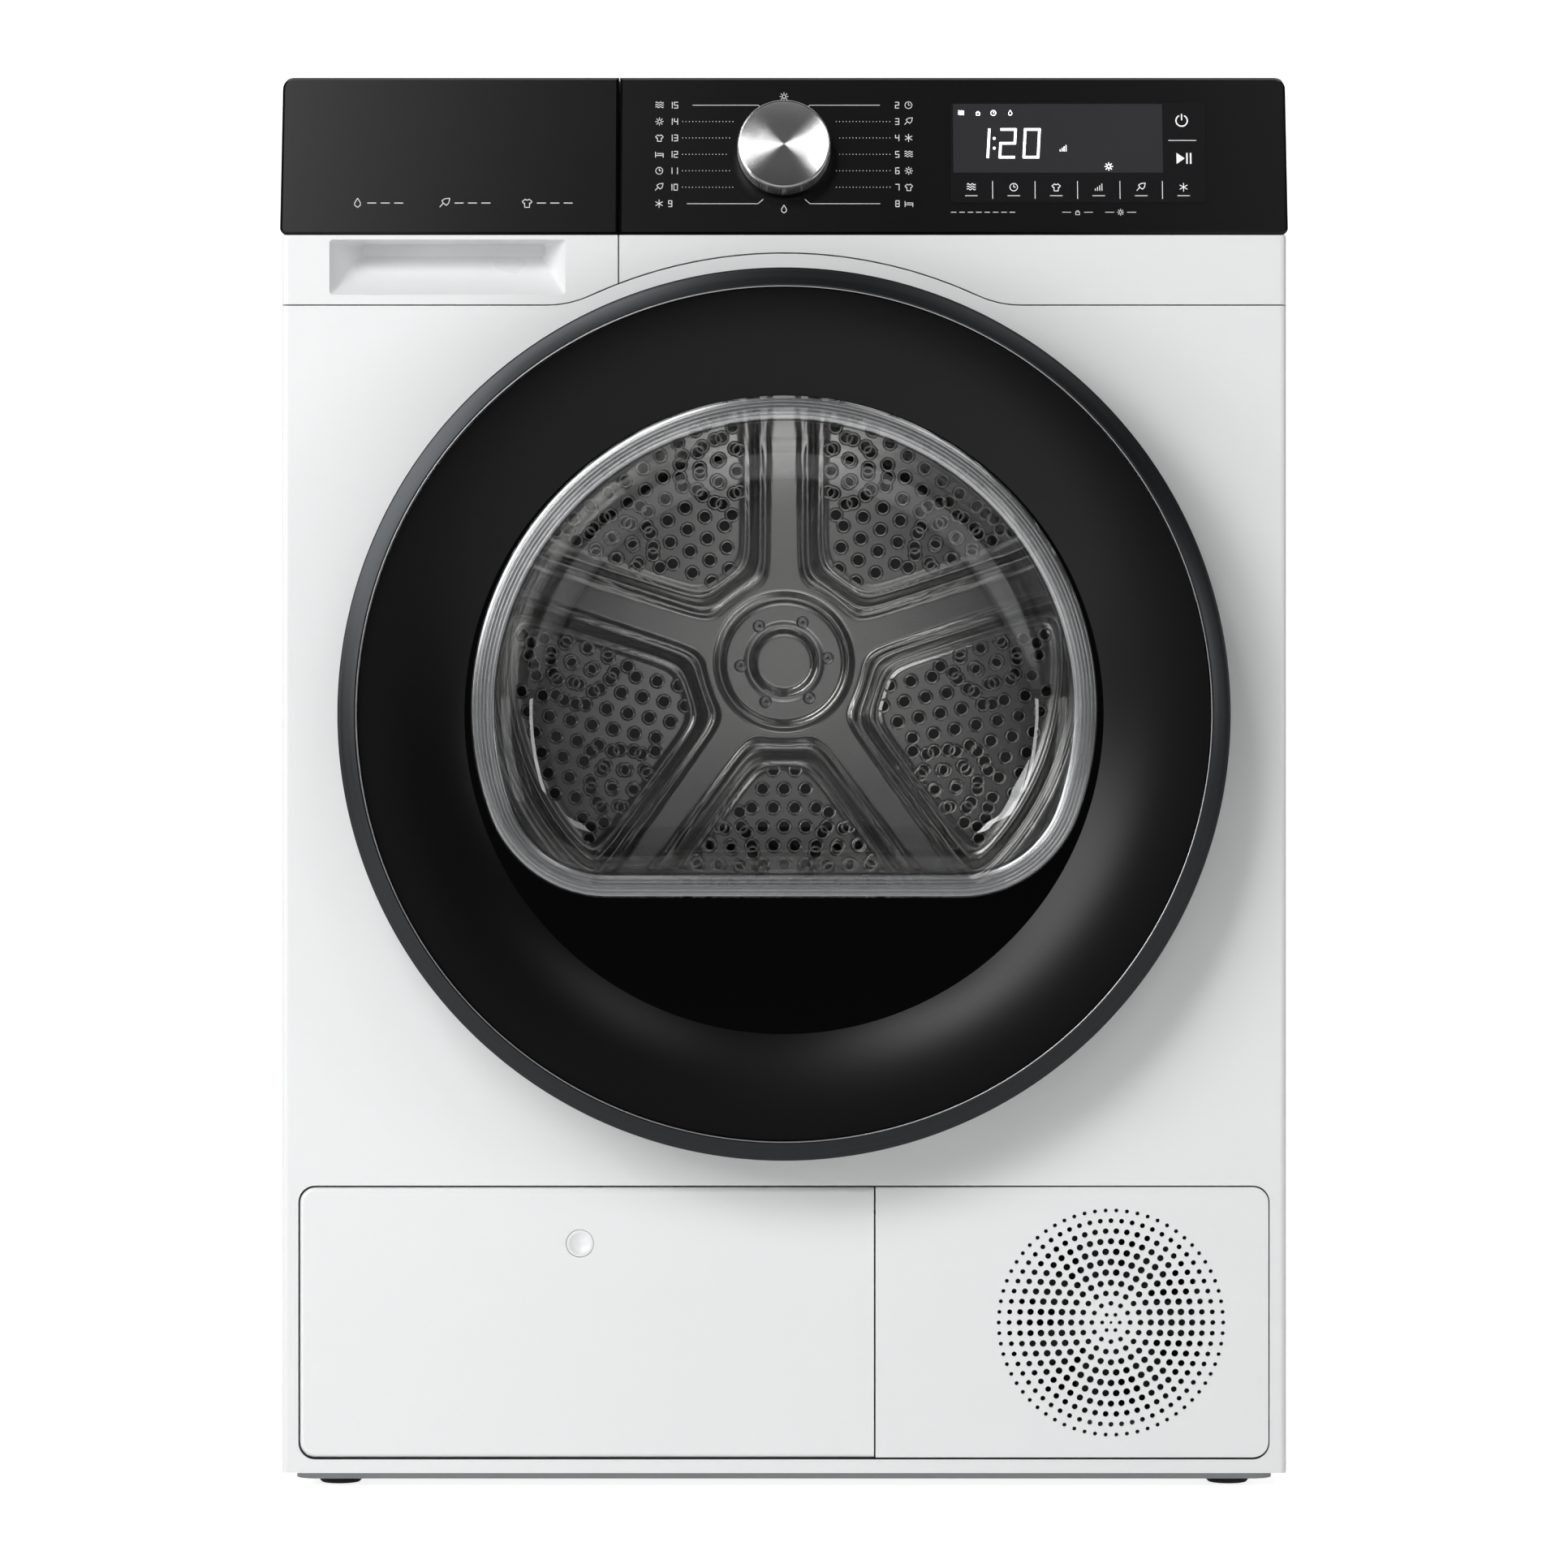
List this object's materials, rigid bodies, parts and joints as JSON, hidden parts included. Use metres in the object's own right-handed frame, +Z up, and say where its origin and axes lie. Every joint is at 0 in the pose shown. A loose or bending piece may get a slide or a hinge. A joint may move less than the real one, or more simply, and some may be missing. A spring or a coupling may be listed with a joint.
{
  "type": "clothes dryer",
  "caption": "Free-standing front-loading tumble dryer with a round black door, D-shaped window, leaning control panel, pull-out water tank and service flap.",
  "frame": {"origin": "on the floor, under the middle of the outer box", "axes": "+X to the right seen from the front, +Y to the back, +Z up"},
  "size_m": [0.6, 0.65, 0.845],
  "materials": {
    "white_paint": "semi-gloss powder coat",
    "white_plastic": "satin moulded",
    "black_gloss": "piano black",
    "black_satin": "satin black",
    "display_glass": "smoked, dead front",
    "knob_aluminium": "spun brushed",
    "ring_metal": "dark metallic, brushed",
    "window_clear": "clear moulded",
    "dark_plastic": "moulded",
    "grey_plastic": "moulded",
    "black_rubber": "moulded",
    "stainless": "satin stainless sheet",
    "zinc_steel": "zinc plated sheet",
    "latch_plastic": "moulded",
    "felt": "felt",
    "motor_paint": "black enamel",
    "circuit_board": "coated board",
    "fin_aluminium": "bare fins",
    "copper": "bare copper tube"
  },
  "bodies": {
    "cabinet": {"base_tub": "grey_plastic", "belt": "black_rubber", "cabinet_screws": "zinc_steel", "compressor": "motor_paint", "condensate_pump": "grey_plastic", "condenser": "fin_aluminium", "control_board": "circuit_board", "control_fascia": "black_gloss", "display_glass": "display_glass", "door_latch": "latch_plastic", "drain_spigot": "grey_plastic", "drum_seals": "felt", "evaporator": "fin_aluminium", "fan_scroll": "grey_plastic", "fan_shroud": "dark_plastic", "front_bulkhead": "dark_plastic", "front_panel": "white_paint", "grille_panel": "white_plastic", "hinge_bracket": "zinc_steel", "mains_inlet": "latch_plastic", "motor_housing": "motor_paint", "rear_bearing": "zinc_steel", "rear_duct_cover": "grey_plastic", "rear_panel": "zinc_steel", "refrigerant_pipes": "copper", "roller_axles": "stainless", "side_panel_left": "white_paint", "side_panel_right": "white_paint", "tank_tray": "grey_plastic", "top_panel": "white_plastic", "upper_trim": "white_plastic"},
    "door": {"door_outer_ring": "ring_metal", "door_trim": "black_gloss", "door_insert": "black_satin", "door_window": "window_clear", "door_inner_frame": "dark_plastic", "door_gasket": "black_rubber", "door_hinge_leaf": "zinc_steel", "door_strike": "zinc_steel"},
    "water_tank": {"tank_front_black": "black_gloss", "tank_front_white": "white_plastic", "tank_reservoir": "grey_plastic"},
    "selector": {"selector_knob": "knob_aluminium"},
    "drum": {"drum_shell": "stainless", "drum_back": "stainless", "drum_lifters": "grey_plastic"},
    "motor_rotor": {"motor_pulley": "zinc_steel", "process_fan": "dark_plastic"},
    "idler_arm": {"idler_arm": "zinc_steel"},
    "idler_pulley": {"idler_pulley": "latch_plastic"},
    "roller_left": {"support_roller_left": "latch_plastic"},
    "roller_right": {"support_roller_right": "latch_plastic"},
    "cooling_fan": {"cooling_fan": "dark_plastic"},
    "service_flap": {"service_flap": "white_plastic"},
    "flap_latch": {"flap_latch": "white_plastic"},
    "lint_filter": {"lint_filter": "grey_plastic"},
    "foot_front_left": {"foot_front_left": "black_rubber"},
    "foot_front_right": {"foot_front_right": "black_rubber"},
    "foot_rear_left": {"foot_rear_left": "black_rubber"},
    "foot_rear_right": {"foot_rear_right": "black_rubber"}
  },
  "joints": [
    {"name": "door_swing", "type": "hinge", "parent": "cabinet", "child": "door", "pos_m": [0.246, -0.304, 0.461], "axis": [0, 0, 1], "range_deg": [0, 105]},
    {"name": "tank_pull", "type": "slide", "parent": "cabinet", "child": "water_tank", "axis": [0, -1, 0], "range_m": [0, 0.38]},
    {"name": "selector_turn", "type": "hinge", "parent": "cabinet", "child": "selector", "pos_m": [0, -0.26558, 0.797], "axis": [0, -0.979, 0.204], "continuous": true},
    {"name": "drum_spin", "type": "hinge", "parent": "cabinet", "child": "drum", "pos_m": [0, 0, 0.505], "axis": [0, 1, 0], "continuous": true},
    {"name": "motor_spin", "type": "hinge", "parent": "cabinet", "child": "motor_rotor", "pos_m": [0.13, 0.11, 0.11], "axis": [0, 1, 0], "continuous": true},
    {"name": "idler_swing", "type": "hinge", "parent": "cabinet", "child": "idler_arm", "pos_m": [0.02, 0.03, 0.062], "axis": [0, -1, 0], "range_deg": [0, 12], "stiffness_Nm_per_rad": 2, "springref_deg": -17.19},
    {"name": "idler_spin", "type": "hinge", "parent": "idler_arm", "child": "idler_pulley", "pos_m": [0.04626, 0.019, 0.12626], "axis": [0, 1, 0], "continuous": true},
    {"name": "roller_left_spin", "type": "hinge", "parent": "cabinet", "child": "roller_left", "pos_m": [-0.17167, -0.191, 0.25983], "axis": [0, 1, 0], "continuous": true},
    {"name": "roller_right_spin", "type": "hinge", "parent": "cabinet", "child": "roller_right", "pos_m": [0.17167, -0.191, 0.25983], "axis": [0, 1, 0], "continuous": true},
    {"name": "cooling_fan_spin", "type": "hinge", "parent": "cabinet", "child": "cooling_fan", "pos_m": [0.1946, -0.242, 0.0995], "axis": [0, 1, 0], "continuous": true},
    {"name": "flap_fold", "type": "hinge", "parent": "cabinet", "child": "service_flap", "pos_m": [0, -0.27, 0.0242], "axis": [1, 0, 0], "range_deg": [0, 48]},
    {"name": "flap_latch_press", "type": "slide", "parent": "service_flap", "child": "flap_latch", "axis": [0, 1, 0], "range_m": [0, 0.003], "stiffness_N_per_m": 400, "springref_m": -0.002},
    {"name": "filter_lift", "type": "slide", "parent": "cabinet", "child": "lint_filter", "axis": [0, 0, 1], "range_m": [0, 0.2]},
    {"name": "foot_front_left_height", "type": "slide", "parent": "cabinet", "child": "foot_front_left", "axis": [0, 0, -1], "range_m": [0, 0.012]},
    {"name": "foot_front_right_height", "type": "slide", "parent": "cabinet", "child": "foot_front_right", "axis": [0, 0, -1], "range_m": [0, 0.012]},
    {"name": "foot_rear_left_height", "type": "slide", "parent": "cabinet", "child": "foot_rear_left", "axis": [0, 0, -1], "range_m": [0, 0.012]},
    {"name": "foot_rear_right_height", "type": "slide", "parent": "cabinet", "child": "foot_rear_right", "axis": [0, 0, -1], "range_m": [0, 0.012]}
  ],
  "couplings": [
    {"joint": "motor_spin", "follows": "drum_spin", "ratio": 31},
    {"joint": "idler_spin", "follows": "drum_spin", "ratio": -15.5},
    {"joint": "roller_left_spin", "follows": "drum_spin", "ratio": -13.95},
    {"joint": "roller_right_spin", "follows": "drum_spin", "ratio": -13.95}
  ]
}
